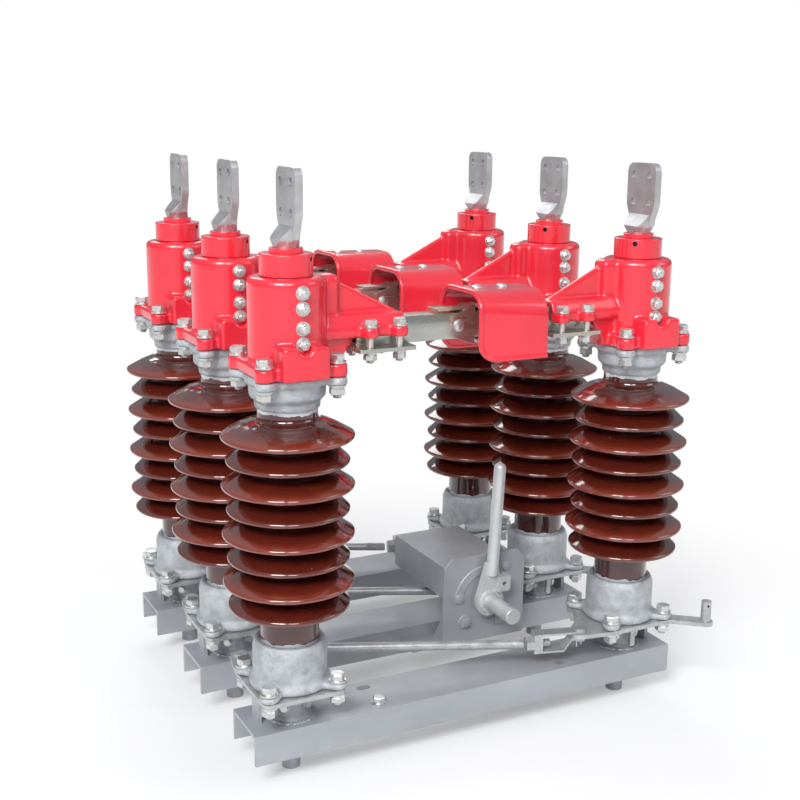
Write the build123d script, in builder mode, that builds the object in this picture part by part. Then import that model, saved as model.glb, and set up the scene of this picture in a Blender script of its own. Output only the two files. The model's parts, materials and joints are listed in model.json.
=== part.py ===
"""Three-pole centre-break disconnector for outdoor use, with its hand-operated mechanism.

Lengths are in millimetres. +X runs along the base channels from the left post to the right
post, +Y from the front pole to the rear pole and +Z up. The origin is the middle of the four
fixing slots in the top of the middle channel.
"""
import os
from math import atan2, cos, degrees, radians, sin

from build123d import *

# Layout of the three poles
pole_names = ("front", "middle", "rear")
pole_pitch = 225.0
post_span = 530.0

# Base channel, an inverted U, with its slots and bearing tubes
channel_overhang = 65.0
channel_width = 86.0
channel_depth = 42.0
channel_wall = 5.0
slot_spacing_x = 294.0
slot_spacing_y = 50.0
slot_width = 11.0
slot_length = 20.0
tube_radius = 25.0
tube_height = 41.0
weld_radius = 31.0
weld_height = 6.0
stub_radius = 12.5
stub_drop = 75.0
spindle_radius = 8.0
spindle_length = 66.0
running_gap = 0.05
seat_gap = 0.3
stop_post_offset = 47.0
stop_post_size = (6.0, 22.0)
stop_post_clearance = 4.0

# Crank plates, link rods and the lever for the rod between poles
plate_thickness = 6.0
plate_side = 114.0
plate_corner = 8.0
pin_circle = 100.0
left_pin_angle = 110.0
right_pin_angle = 200.0
pin_radius = 6.0
lug_radius = 15.0
lug_root = (15.0, 49.0)
stop_strip_offset = 36.0
stop_strip_size = (6.0, 8.0)
stop_strip_drop = 33.0
lever_reach = (99.0, -82.0)
lever_width = 22.0
lever_pin_radius = 7.4
lever_pin_height = 31.0
strap_width = 19.0
strap_thickness = 3.0
strap_bend = (14.0, 25.0)
fork_reach = 70.0
fork_block_length = 13.0
rod_seat = 9.5
rod_radius = 6.5
rod_heights = (54.0, 33.8)
nut_radius = 11.5
nut_length = 11.0
rod_end_gaps = (4.0, 5.4, 6.8)
pin_head_radius = 9.0
pin_head_height = 3.0

# Post fittings, held by four bolts on a square
bolt_half = 47.0
bolt_radius = 5.5
ear_radius = 13.0
flange_radius = 54.0
lower_flange_height = 10.0
lower_cup_radius = 49.0
lower_cup_height = 47.0
lower_lip_radius = 46.5
lower_lip_height = 7.0
socket_depth = 40.0
upper_ring_radius = 41.5
upper_ring_height = 14.0
upper_cup_radius = 48.5
upper_cup_height = 21.0
upper_flange_height = 11.0
upper_socket_depth = 24.0
cement_gap = 0.1

# Insulator with alternating sheds
core_radius = 38.5
web_radius = 42.0
lower_neck = 50.7
upper_neck = 31.0
shed_pitch = 32.0
shed_count = 8
large_shed_radius = 85.0
small_shed_radius = 79.0
rim_thickness = 5.0
shed_rise = 17.0
shed_hollow = 8.0

# Head casting with its bracket for the contact arm
head_flange_height = 16.5
head_flange_corner = 10.0
head_radius = 48.5
head_height = 120.0
head_edge = 8.0
pad_reach = 66.0
pad_half_width = 15.0
pad_corner = 8.0
block_width = 60.0
block_reach = 66.0
block_height = 41.0
block_groove = 10.0
block_corner = 4.0
saddle_end = 154.0
saddle_half_width = 24.0
saddle_crown = 16.0
saddle_wall = 6.5
saddle_drop = 22.0
brace_foot = 58.0
arm_height = 27.0
arm_ears = (101.0, 142.0)
arm_ear_offset = 27.5
arm_ear_radius = 11.0
arm_ear_height = 14.0
gusset_half = 4.0
gusset_top = 112.0
gusset_end = 148.0

# Cap and terminal on top of the head
cap_radius = 33.3
cap_height = 27.0
cap_gap = 0.6
collar_radius = 21.0
collar_height = 6.5
cap_screw_radius = 3.4
cap_screw_height = 20.5
stem_radius = 15.0
tail_radius = 12.0
tail_depth = 36.0
palm_width = 62.0
palm_thickness = 10.0
palm_length = 70.0
palm_shoulder = 20.0
neck_radius = 21.5
neck_length = 10.0
wedge_rise = 16.0
palm_corner = 12.0
palm_hole_radius = 5.5
palm_hole_spacing = (34.0, 37.0)
palm_hole_drop = 36.0

# Contact arms, fingers and hood
bar_width = 34.0
bar_height = 34.0
bar_crease = 3.0
bar_wall = 4.0
bar_start = 88.0
blade_overlap = 30.0
blade_block = 70.0
strip_span = (82.0, 162.0)
strip_width = 76.0
strip_thickness = 5.0
carrier_end = 205.0
finger_count = 4
finger_gap = 1.6
finger_thickness = 5.0
finger_reach = 264.0
finger_root = 190.0
finger_clearance = 0.3
finger_flare = 8.0
flare_span = (222.0, 258.0)
flare_rise = 9.0
leaf_span = (204.0, 244.0)
leaf_thickness = 2.5
leaf_rise = 3.5
hood_span = (181.0, 284.0)
hood_width = 107.0
hood_drop = 25.0
hood_height = 88.0
hood_wall = 3.5
hood_corners = (38.0, 26.0)
hood_front_corner = 24.0

# Mechanism on the front of the middle channel
mech_left = 43.0
mech_width = 143.0
mech_face = 85.0
mech_plate = 6.0
mech_bottom = -18.0
mech_top = 116.0
mech_chamfer = 13.0
foot_left = -10.0
foot_flange_drop = 22.0
cover_width = 117.0
cover_top = 103.0
cover_back = 87.0
cover_wall = 3.0
cover_left_edge = 52.0
cover_right_edge = 62.0
shaft_x = 114.0
shaft_z = 46.0
shaft_radius = 12.5
journal_radius = 13.5
shaft_reach = 172.0
shaft_tail = 60.0
track_radii = (38.0, 52.0)
track_height = 2.0
hub_radius = 24.0
hub_gap = 7.5
hub_thickness = 9.0
handle_length = 219.0
handle_radius = 9.2
handle_seat = 7.0
handle_lean = 3.0
paddle_top = 62.0
lock_block = (20.0, 18.0, 24.0)
lock_offset = (20.0, 28.0)
lock_hole_radius = 3.5

# Heights that several pieces share
plate_bottom = tube_height + seat_gap
plate_top = plate_bottom + plate_thickness
lower_cup_top = plate_top + lower_flange_height + lower_cup_height
lower_fitting_top = lower_cup_top + lower_lip_height
insulator_bottom = lower_fitting_top - socket_depth
top_rim_height = lower_fitting_top + lower_neck + (shed_count - 1) * shed_pitch
upper_fitting_height = top_rim_height + upper_neck
upper_flange_bottom = upper_fitting_height + upper_ring_height + upper_cup_height
head_bottom = upper_flange_bottom + upper_flange_height
insulator_top = upper_fitting_height + upper_socket_depth
head_top = head_bottom + head_height
cap_bottom = head_top + cap_gap
cap_top = cap_bottom + cap_height
collar_top = cap_top + collar_height
wedge_foot = collar_top + neck_length
palm_foot = wedge_foot + wedge_rise
palm_top = palm_foot + palm_length
bar_base = head_bottom + arm_height
bar_top = bar_base + bar_height
saddle_top = bar_top + saddle_wall
saddle_bottom = saddle_top - saddle_wall - saddle_drop
hood_base = bar_base - hood_drop
half_span = post_span / 2


def polar(radius, angle):
    """Point at a radius and an angle in degrees."""
    return (radius * cos(radians(angle)), radius * sin(radians(angle)))


def heading(step):
    """Angle in degrees of a step in the plan."""
    return degrees(atan2(step[1], step[0]))


left_pin = polar(pin_circle, left_pin_angle)
right_pin = polar(pin_circle, right_pin_angle)


def flange(height, thickness, with_block=False):
    """Round flange with an ear for each of the four bolts, its foot at the given height."""
    with BuildPart() as piece:
        with BuildSketch(Plane.XY.offset(height)):
            Circle(flange_radius)
            for turn in (45, 135):
                SlotCenterToCenter(2 * bolt_half * 2**0.5, 2 * ear_radius, rotation=turn)
            with GridLocations(2 * bolt_half, 2 * bolt_half, 2, 2):
                Circle(bolt_radius, mode=Mode.SUBTRACT)
        extrude(amount=thickness)
    return piece.part


def export(piece, name):
    """Labels a finished piece and writes its file."""
    piece.part.label = name
    export_step(piece.part, f"parts/{name}.step")


def place(shape, x, y, name):
    """Writes a copy of a post's piece that stands on the post at x, y."""
    with BuildPart() as piece:
        with Locations((x, y, 0)):
            add(shape)
    export(piece, name)


# Base channel of one pole
with BuildPart() as channel:
    channel_length = post_span + 2 * channel_overhang
    with BuildSketch(Plane.XY):
        Rectangle(channel_length, channel_width)
    extrude(amount=-channel_depth)
    with BuildSketch(Plane.XY.offset(-channel_wall)):
        Rectangle(channel_length, channel_width - 2 * channel_wall)
    extrude(amount=-channel_depth, mode=Mode.SUBTRACT)
    with BuildSketch(Plane.XY):
        with GridLocations(slot_spacing_x, slot_spacing_y, 2, 2):
            SlotOverall(slot_length, slot_width)
    extrude(amount=-channel_wall, mode=Mode.SUBTRACT)
    with Locations((-half_span, 0), (half_span, 0)):
        Cylinder(tube_radius, tube_height, align=(Align.CENTER, Align.CENTER, Align.MIN))
        Cone(weld_radius, tube_radius, weld_height, align=(Align.CENTER, Align.CENTER, Align.MIN))
        Cylinder(stub_radius, stub_drop, align=(Align.CENTER, Align.CENTER, Align.MAX))
    for outer in (-1, 1):
        with Locations((outer * (half_span + stop_post_offset), 0, 0)):
            Box(*stop_post_size, tube_height - stop_post_clearance,
                align=(Align.CENTER, Align.CENTER, Align.MIN))
    with BuildSketch(Plane.XY.offset(tube_height)):
        with Locations((-half_span, 0), (half_span, 0)):
            Circle(spindle_radius + running_gap)
    extrude(amount=-spindle_length - 1, mode=Mode.SUBTRACT)


def crank(pin_angle, stop_angle, lever):
    """Crank plate of one post with its rod lug, spindle and stop strip.

    The lug is narrower on its clockwise side, where the fork of the link rod swings.
    """
    pin = polar(pin_circle, pin_angle)
    quarter = round((pin_angle - 135) / 90) * 90
    with BuildPart() as piece:
        with BuildSketch(Plane.XY.offset(plate_bottom)):
            with BuildSketch(mode=Mode.PRIVATE) as hull:
                with Locations(pin):
                    Circle(lug_radius)
                with Locations(Rotation(0, 0, quarter)):
                    with Locations((-plate_side / 2 + plate_corner, plate_side / 2 - plate_corner),
                                   (lug_root[0], lug_root[1])):
                        Circle(plate_corner)
                make_hull()
            RectangleRounded(plate_side, plate_side, plate_corner)
            add(hull.sketch)
            if lever:
                with Locations(Location((lever_reach[0] / 2, lever_reach[1] / 2), heading(lever_reach))):
                    SlotCenterToCenter(Vector(*lever_reach).length, lever_width)
            with GridLocations(2 * bolt_half, 2 * bolt_half, 2, 2):
                Circle(bolt_radius, mode=Mode.SUBTRACT)
            with Locations(pin):
                Circle(pin_radius + running_gap, mode=Mode.SUBTRACT)
        extrude(amount=plate_thickness)
        with Locations((0, 0, plate_bottom)):
            Cylinder(spindle_radius, spindle_length - seat_gap, align=(Align.CENTER, Align.CENTER, Align.MAX))
        with PolarLocations(stop_strip_offset, 1, start_angle=stop_angle):
            with Locations((0, 0, plate_bottom)):
                Box(*stop_strip_size, stop_strip_drop, align=(Align.CENTER, Align.CENTER, Align.MAX))
        if lever:
            with Locations((*lever_reach, plate_top)):
                Cylinder(lever_pin_radius, lever_pin_height, align=(Align.CENTER, Align.CENTER, Align.MIN))
    return piece.part


left_crank = crank(left_pin_angle, 180, False)
right_crank = crank(right_pin_angle, 270, True)

# Cast fittings at the foot and the top of the insulator
with BuildPart() as lower_fitting:
    with BuildSketch(Plane.XZ):
        with BuildLine():
            Polyline((0, plate_top), (lower_cup_radius, plate_top), (lower_cup_radius, lower_cup_top),
                     (lower_lip_radius, lower_cup_top), (lower_lip_radius, lower_fitting_top),
                     (0, lower_fitting_top), close=True)
        make_face()
        fillet(vertices().sort_by_distance((lower_cup_radius, lower_cup_top))[0], radius=2)
        fillet(vertices().sort_by_distance((lower_lip_radius, lower_fitting_top))[0], radius=3)
    revolve(axis=Axis.Z)
    add(flange(plate_top, lower_flange_height))
    with Locations((0, 0, lower_fitting_top)):
        Cylinder(core_radius + cement_gap, socket_depth, align=(Align.CENTER, Align.CENTER, Align.MAX),
                 mode=Mode.SUBTRACT)

with BuildPart() as upper_fitting:
    with BuildSketch(Plane.XZ):
        with BuildLine():
            cup_foot = upper_fitting_height + upper_ring_height
            Polyline((0, upper_fitting_height), (upper_ring_radius, upper_fitting_height),
                     (upper_ring_radius, cup_foot), (upper_cup_radius, cup_foot),
                     (upper_cup_radius, upper_flange_bottom), (0, upper_flange_bottom), close=True)
        make_face()
        fillet(vertices().sort_by_distance((upper_cup_radius, cup_foot))[0], radius=6)
        fillet(vertices().sort_by_distance((upper_ring_radius, upper_fitting_height))[0], radius=3)
    revolve(axis=Axis.Z)
    add(flange(upper_flange_bottom, upper_flange_height))
    with Locations((0, 0, upper_fitting_height)):
        Cylinder(core_radius + cement_gap, upper_socket_depth, align=(Align.CENTER, Align.CENTER, Align.MIN),
                 mode=Mode.SUBTRACT)

with BuildPart() as fittings:
    add(lower_fitting.part)
    add(upper_fitting.part)

# Insulator, a core with sheds that slope down to a rounded rim
with BuildPart() as insulator:
    with BuildSketch(Plane.XZ):
        with BuildLine():
            points = [(0, insulator_bottom), (core_radius, insulator_bottom)]
            for shed in reversed(range(shed_count)):
                rim = top_rim_height - shed * shed_pitch
                reach = small_shed_radius if shed % 2 else large_shed_radius
                root = core_radius if shed == shed_count - 1 else web_radius
                points += [(root, rim - rim_thickness + shed_hollow), (reach - rim_thickness / 2, rim - rim_thickness),
                           (reach, rim - rim_thickness / 2), (reach - rim_thickness / 2, rim),
                           (core_radius if shed == 0 else web_radius, rim + shed_rise)]
            points += [(core_radius, insulator_top), (0, insulator_top)]
            Polyline(*points, close=True)
        make_face()
    revolve(axis=Axis.Z)


# Head casting, drawn for the left post with its arm towards +X
with BuildPart() as left_head:
    # square flange with a round ear at each corner
    with BuildSketch(Plane.XY.offset(head_bottom)):
        RectangleRounded(2 * flange_radius, 2 * flange_radius, head_flange_corner)
        with GridLocations(2 * bolt_half, 2 * bolt_half, 2, 2):
            Circle(ear_radius)
    extrude(amount=head_flange_height)
    fillet(faces().sort_by(Axis.Z)[-1].edges(), radius=2.5)
    # body with the pad that carries the arm
    with BuildPart(mode=Mode.PRIVATE) as body:
        with BuildSketch(Plane.XY.offset(head_bottom)):
            Circle(head_radius)
            with Locations((pad_reach / 2, 0)):
                RectangleRounded(pad_reach, 2 * pad_half_width, pad_corner)
        extrude(amount=head_height)
        fillet(body.faces().sort_by(Axis.Z)[-1].edges(), radius=head_edge)
    add(body.part)
    # front block with its groove
    with BuildSketch(Plane.XZ.offset(block_reach)):
        with Locations((0, head_bottom)):
            Rectangle(block_width, block_height, align=(Align.CENTER, Align.MIN))
            fillet(vertices().group_by(Axis.Y)[-1], radius=block_corner)
        with Locations((0, head_bottom + block_height)):
            Circle(block_groove, mode=Mode.SUBTRACT)
    extrude(amount=-(block_reach - head_radius / 2))
    # saddle over the contact arm, with a sloped shelf on each side
    with BuildSketch(Plane.YZ.offset(saddle_end)):
        with BuildLine():
            Polyline((-saddle_half_width, saddle_bottom), (saddle_half_width, saddle_bottom),
                     (saddle_half_width, saddle_bottom + arm_ear_height), (saddle_crown, saddle_top),
                     (-saddle_crown, saddle_top), (-saddle_half_width, saddle_bottom + arm_ear_height), close=True)
        make_face()
    extrude(amount=-(saddle_end - head_radius + head_edge))
    # brace under the saddle
    with BuildSketch(Plane.XZ):
        with BuildLine():
            Polyline((head_radius - head_edge, head_bottom), (brace_foot, head_bottom),
                     (bar_start - 2, saddle_bottom), (head_radius - head_edge, saddle_bottom), close=True)
        make_face()
    extrude(amount=pad_half_width, both=True)
    # ears for the clamp bolts
    with BuildSketch(Plane.XY.offset(saddle_bottom)):
        for reach in arm_ears:
            with Locations((reach, 0)):
                SlotCenterToCenter(2 * arm_ear_offset, 2 * arm_ear_radius, rotation=90)
    extrude(amount=arm_ear_height)
    # gusset on the saddle
    with BuildSketch(Plane.XZ):
        with BuildLine():
            Polyline((head_radius, saddle_top - 1), (gusset_end, saddle_top - 1), (gusset_end, saddle_top + 2),
                     (pad_reach - 2, head_bottom + gusset_top), (head_radius, head_bottom + gusset_top),
                     close=True)
        make_face()
    extrude(amount=gusset_half, both=True)
    # bed of the contact arm
    with BuildSketch(Plane.YZ.offset(saddle_end)):
        with Locations((0, bar_top)):
            Rectangle(bar_width, bar_height, align=(Align.CENTER, Align.MAX))
    extrude(amount=-(saddle_end - bar_start), mode=Mode.SUBTRACT)
    with BuildSketch(Plane.XY.offset(saddle_bottom)):
        for reach in arm_ears:
            with Locations((reach, arm_ear_offset), (reach, -arm_ear_offset)):
                Circle(bolt_radius)
    extrude(amount=arm_ear_height, mode=Mode.SUBTRACT)
    # holes for the flange bolts and bore for the terminal's tail
    with BuildSketch(Plane.XY.offset(head_bottom)):
        with GridLocations(2 * bolt_half, 2 * bolt_half, 2, 2):
            Circle(bolt_radius)
    extrude(amount=head_flange_height, mode=Mode.SUBTRACT)
    with Locations((0, 0, head_top)):
        Cylinder(tail_radius + running_gap, tail_depth + 1, align=(Align.CENTER, Align.CENTER, Align.MAX),
                 mode=Mode.SUBTRACT)

with BuildPart() as right_head:
    add(mirror(left_head.part, about=Plane.YZ, mode=Mode.PRIVATE))


def cap(screw_angle):
    """Cap round the terminal's stem with its collar and set screw hole."""
    with BuildPart() as piece:
        with Locations((0, 0, cap_bottom)):
            Cylinder(cap_radius, cap_height, align=(Align.CENTER, Align.CENTER, Align.MIN))
        fillet(piece.faces().sort_by(Axis.Z)[-1].edges(), radius=2)
        with Locations((0, 0, cap_top)):
            Cylinder(collar_radius, collar_height, align=(Align.CENTER, Align.CENTER, Align.MIN))
        fillet(piece.faces().sort_by(Axis.Z)[-1].edges(), radius=1.5)
        with Locations((0, 0, cap_bottom)):
            Cylinder(stem_radius + cement_gap, cap_height + collar_height,
                     align=(Align.CENTER, Align.CENTER, Align.MIN), mode=Mode.SUBTRACT)
        with Locations(Plane((0, 0, cap_bottom + cap_screw_height), z_dir=(*polar(1, screw_angle), 0))):
            Cylinder(cap_screw_radius, cap_radius + 1, align=(Align.CENTER, Align.CENTER, Align.MIN),
                     mode=Mode.SUBTRACT)
    return piece.part


left_cap = cap(-45)
right_cap = cap(-135)

# Terminal, a round bar whose end is forged into a flat palm with four holes
with BuildPart() as terminal:
    with BuildSketch(Plane.XZ):
        with BuildLine():
            Polyline((0, head_top - tail_depth), (tail_radius, head_top - tail_depth), (tail_radius, cap_bottom),
                     (stem_radius, cap_bottom), (stem_radius, collar_top), (neck_radius, wedge_foot),
                     (neck_radius, palm_foot + palm_shoulder / 2), (0, palm_foot + palm_shoulder / 2), close=True)
        make_face()
    revolve(axis=Axis.Z)
    # flats on both faces of the neck, with the wedge left under the palm
    with BuildSketch(Plane.XZ):
        with BuildLine():
            Polyline((0, palm_top), (0, palm_foot), (-stem_radius, wedge_foot), (-stem_radius, collar_top),
                     (-palm_width, collar_top), (-palm_width, palm_top), close=True)
        make_face()
        with BuildLine():
            Polyline((palm_thickness, palm_top), (palm_thickness, wedge_foot), (stem_radius, collar_top),
                     (palm_width, collar_top), (palm_width, palm_top), close=True)
        make_face()
    extrude(amount=palm_width, both=True, mode=Mode.SUBTRACT)
    with BuildSketch(Plane.YZ):
        with BuildLine():
            right = Spline((neck_radius, wedge_foot), (palm_width / 2, palm_foot + palm_shoulder),
                           tangents=((0, 1), (0, 1)))
            Line(right @ 1, (palm_width / 2, palm_top))
            Line((palm_width / 2, palm_top), (-palm_width / 2, palm_top))
            left = Spline((-neck_radius, wedge_foot), (-palm_width / 2, palm_foot + palm_shoulder),
                          tangents=((0, 1), (0, 1)))
            Line(left @ 1, (-palm_width / 2, palm_top))
            Line(left @ 0, right @ 0)
        make_face()
        fillet(vertices().group_by(Axis.Y)[-1], radius=palm_corner)
    extrude(amount=palm_thickness)
    with BuildSketch(Plane.YZ):
        with Locations((0, palm_top - palm_hole_drop)):
            with GridLocations(*palm_hole_spacing, 2, 2):
                Circle(palm_hole_radius)
    extrude(amount=palm_thickness, mode=Mode.SUBTRACT)


def bar_section():
    """Outline of the contact arm, square with a crease along the middle of each side."""
    with BuildSketch() as outline:
        with BuildLine():
            half, crease = bar_width / 2, bar_base + bar_height / 2
            Polyline((-half + bar_crease, bar_base), (half - bar_crease, bar_base), (half, crease),
                     (half - bar_crease, bar_top), (-half + bar_crease, bar_top), (-half, crease), close=True)
        make_face()
    return outline.sketch


def tube(start, end):
    """Square tube of a contact arm, from one distance from the post axis to another."""
    with BuildPart() as piece:
        with BuildSketch(Plane.YZ.offset(start)):
            add(bar_section())
            with Locations((0, bar_base + bar_height / 2)):
                RectangleRounded(bar_width - 2 * bar_wall - bar_crease, bar_height - 2 * bar_wall, 2,
                                 mode=Mode.SUBTRACT)
        extrude(amount=end - start)
    return piece.part


def clamp_strip():
    """Strip under the arm that the ears' bolts pull up."""
    with BuildPart() as piece:
        with BuildSketch(Plane.XY.offset(bar_base - strip_thickness)):
            with Locations(((strip_span[0] + strip_span[1]) / 2, 0)):
                RectangleRounded(strip_span[1] - strip_span[0], strip_width, 4)
            for reach in arm_ears:
                with Locations((reach, arm_ear_offset), (reach, -arm_ear_offset)):
                    Circle(bolt_radius, mode=Mode.SUBTRACT)
        extrude(amount=strip_thickness)
    return piece.part


# Blade on the left post
with BuildPart() as blade:
    add(tube(bar_start, half_span + blade_overlap - blade_block))
    with BuildSketch(Plane.YZ.offset(half_span + blade_overlap - blade_block)):
        add(bar_section())
    extrude(amount=blade_block)
    # flared jaw at the hood's mouth, and the spring leaf on it
    with BuildSketch(Plane.XZ):
        with BuildLine():
            Polyline((flare_span[0], bar_base + 4), (flare_span[1], bar_base - flare_rise),
                     (flare_span[1], bar_top + flare_rise), (flare_span[0], bar_top - 4), close=True)
        make_face()
    extrude(amount=bar_width / 2, both=True)
    with BuildSketch(Plane.XZ):
        with BuildLine():
            Polyline((leaf_span[0], bar_top + leaf_rise), (leaf_span[1], bar_top + leaf_rise),
                     (leaf_span[1], bar_top + leaf_rise + leaf_thickness),
                     (leaf_span[0], bar_top + leaf_rise + leaf_thickness), close=True)
        make_face()
    extrude(amount=bar_width / 2 - bar_crease, both=True)
    add(clamp_strip())

# Contact fingers on the right post, drawn towards +X and turned round when placed
with BuildPart() as fingers:
    add(tube(bar_start, carrier_end))
    finger_width = (bar_width + finger_gap) / finger_count - finger_gap
    for upper in (1, -1):
        face = bar_top + finger_clearance if upper > 0 else bar_base - finger_clearance
        with BuildSketch(Plane.XZ.offset(-bar_width / 2)):
            with BuildLine():
                Polyline((finger_root, face), (finger_reach - finger_flare, face),
                         (finger_reach, face + upper * finger_flare / 2),
                         (finger_reach - 2, face + upper * (finger_flare / 2 + finger_thickness)),
                         (finger_reach - finger_flare, face + upper * finger_thickness),
                         (finger_root, face + upper * finger_thickness), close=True)
            make_face()
        extrude(amount=bar_width)
    for cut in range(1, finger_count):
        with BuildSketch(Plane.XZ.offset(bar_width / 2 - cut * (finger_width + finger_gap) + finger_gap)):
            with Locations((carrier_end + 6, bar_base - 4 * finger_thickness)):
                Rectangle(finger_reach, bar_height + 8 * finger_thickness, align=(Align.MIN, Align.MIN))
        extrude(amount=-finger_gap, mode=Mode.SUBTRACT)
    for upper in (1, -1):
        height = bar_top if upper > 0 else bar_base
        with BuildSketch(Plane.XY.offset(height - (finger_clearance if upper < 0 else 0))):
            with Locations((finger_root, 0)):
                Rectangle(carrier_end - finger_root, bar_width, align=(Align.MIN, Align.CENTER))
        extrude(amount=finger_clearance)
    add(clamp_strip())


def hood_shell(shrink):
    """Outer or inner form of the hood, whose shoulders grow from its mouth to its closed end."""
    with BuildPart() as piece:
        for reach, corner in zip(hood_span, hood_corners):
            with BuildSketch(Plane.YZ.offset(reach)):
                with Locations((0, hood_base - shrink)):
                    Rectangle(hood_width - 2 * shrink, hood_height, align=(Align.CENTER, Align.MIN))
                fillet(vertices().group_by(Axis.Y)[-1], radius=corner - shrink)
        loft(ruled=True)
    return piece.part


# Hood over the contacts, open below and at its mouth
with BuildPart() as hood:
    add(hood_shell(0))
    with BuildPart(mode=Mode.PRIVATE) as room:
        add(hood_shell(hood_wall))
        split(bisect_by=Plane.YZ.offset(hood_span[0] + hood_wall), keep=Keep.TOP)
    add(room.part, mode=Mode.SUBTRACT)
    # rounded front corners of both walls, and the arm's way through the end wall
    with BuildSketch(Plane.XZ):
        with Locations((hood_span[1], hood_base)):
            Rectangle(hood_front_corner, hood_front_corner, align=(Align.MAX, Align.MIN))
        with Locations((hood_span[1] - hood_front_corner, hood_base + hood_front_corner)):
            Circle(hood_front_corner, mode=Mode.SUBTRACT)
    extrude(amount=hood_width, both=True, mode=Mode.SUBTRACT)
    with BuildSketch(Plane.YZ.offset(hood_span[0])):
        with Locations((0, bar_base - seat_gap)):
            Rectangle(bar_width + 2 * seat_gap, bar_height + 2 * seat_gap, align=(Align.CENTER, Align.MIN))
        with Locations((0, hood_base)):
            Rectangle(hood_width - 2 * hood_wall, bar_base - hood_base - 2 * seat_gap - 8,
                      align=(Align.CENTER, Align.MIN))
    extrude(amount=hood_wall, mode=Mode.SUBTRACT)


# Link rods, each from the left crank's pin to the right crank's pin
pin_gap = (post_span + right_pin[0] - left_pin[0], right_pin[1] - left_pin[1])
pin_distance = Vector(*pin_gap).length
rod_turn = heading(pin_gap)
strap_top = plate_top + seat_gap
strap_bottom = plate_bottom - seat_gap
nut_end = fork_reach + nut_length


def fork(rod_height):
    """Fork on a crank's pin, drawn along +X from the pin, with its cross pin, block and nut.

    A strap lies on each side of the crank plate, and the strap on the rod's side of the plate
    is bent out to the far side of the block that holds the rod.
    """
    block_top = max(strap_top, rod_height + rod_seat)
    block_bottom = min(strap_bottom, rod_height - rod_seat)
    with BuildPart() as piece:
        for near, far, out in ((strap_top, block_top, strap_thickness),
                               (strap_bottom, block_bottom, -strap_thickness)):
            with BuildSketch(Plane.XZ.offset(-strap_width / 2)):
                with BuildLine():
                    Polyline((0, near), (strap_bend[0], near), (strap_bend[1], far), (fork_reach, far),
                             (fork_reach, far + out), (strap_bend[1], far + out), (strap_bend[0], near + out),
                             (0, near + out), close=True)
                make_face()
            extrude(amount=strap_width)
            with Locations((0, 0, near + out / 2)):
                Cylinder(strap_width / 2, strap_thickness)
        with BuildSketch(Plane.XY.offset(block_bottom)):
            with Locations((fork_reach - fork_block_length / 2, 0)):
                Rectangle(fork_block_length, strap_width)
        extrude(amount=block_top - block_bottom)
        with Locations((0, 0, strap_bottom - strap_thickness - pin_head_height)):
            Cylinder(pin_radius, strap_top - strap_bottom + 2 * (strap_thickness + pin_head_height),
                     align=(Align.CENTER, Align.CENTER, Align.MIN))
            Cylinder(pin_head_radius, pin_head_height, align=(Align.CENTER, Align.CENTER, Align.MIN))
        with Locations((0, 0, strap_top + strap_thickness)):
            Cylinder(pin_head_radius, pin_head_height, align=(Align.CENTER, Align.CENTER, Align.MIN))
        with BuildSketch(Plane.YZ.offset(fork_reach)):
            with Locations((0, rod_height)):
                RegularPolygon(nut_radius, 6, rotation=30)
        extrude(amount=nut_length)
    return piece.part


def link_rod(end_gap):
    """Rod with the fork of its left end, open by a small gap at its right fork."""
    start = Vector(nut_end - 1, 0, rod_heights[0])
    end = Vector(pin_distance - nut_end - end_gap, 0, rod_heights[1])
    with BuildPart() as piece:
        add(left_fork)
        with BuildSketch(Plane(start, z_dir=end - start)):
            Circle(rod_radius)
        extrude(amount=(end - start).length)
    return piece.part


left_fork = fork(rod_heights[0])
right_fork = fork(rod_heights[1])

os.makedirs("parts", exist_ok=True)
for pole, pole_name in enumerate(pole_names):
    y = (pole - 1) * pole_pitch
    place(channel.part, 0, y, f"{pole_name}_channel")
    for side, x, side_crank, side_head, side_cap in (
        ("left", -half_span, left_crank, left_head.part, left_cap),
        ("right", half_span, right_crank, right_head.part, right_cap),
    ):
        place(side_crank, x, y, f"{pole_name}_{side}_crank")
        place(fittings.part, x, y, f"{pole_name}_{side}_fittings")
        place(insulator.part, x, y, f"{pole_name}_{side}_insulator")
        place(side_head, x, y, f"{pole_name}_{side}_head")
        place(side_cap, x, y, f"{pole_name}_{side}_cap")
        place(terminal.part, x, y, f"{pole_name}_{side}_terminal")
    place(blade.part, -half_span, y, f"{pole_name}_blade")
    with BuildPart() as placed_fingers:
        with Locations((half_span, y, 0)):
            add(mirror(fingers.part, about=Plane.YZ, mode=Mode.PRIVATE))
    export(placed_fingers, f"{pole_name}_fingers")
    with BuildPart() as placed_hood:
        with Locations((half_span, y, 0)):
            add(mirror(hood.part, about=Plane.YZ, mode=Mode.PRIVATE))
    export(placed_hood, f"{pole_name}_hood")
    with BuildPart() as placed_rod:
        with Locations(Location((left_pin[0] - half_span, left_pin[1] + y, 0), (0, 0, rod_turn))):
            add(link_rod(rod_end_gaps[pole]))
    export(placed_rod, f"{pole_name}_rod")
    with BuildPart() as placed_fork:
        with Locations(Location((right_pin[0] + half_span, right_pin[1] + y, 0), (0, 0, rod_turn + 180))):
            add(right_fork)
    export(placed_fork, f"{pole_name}_rod_fork")

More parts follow.
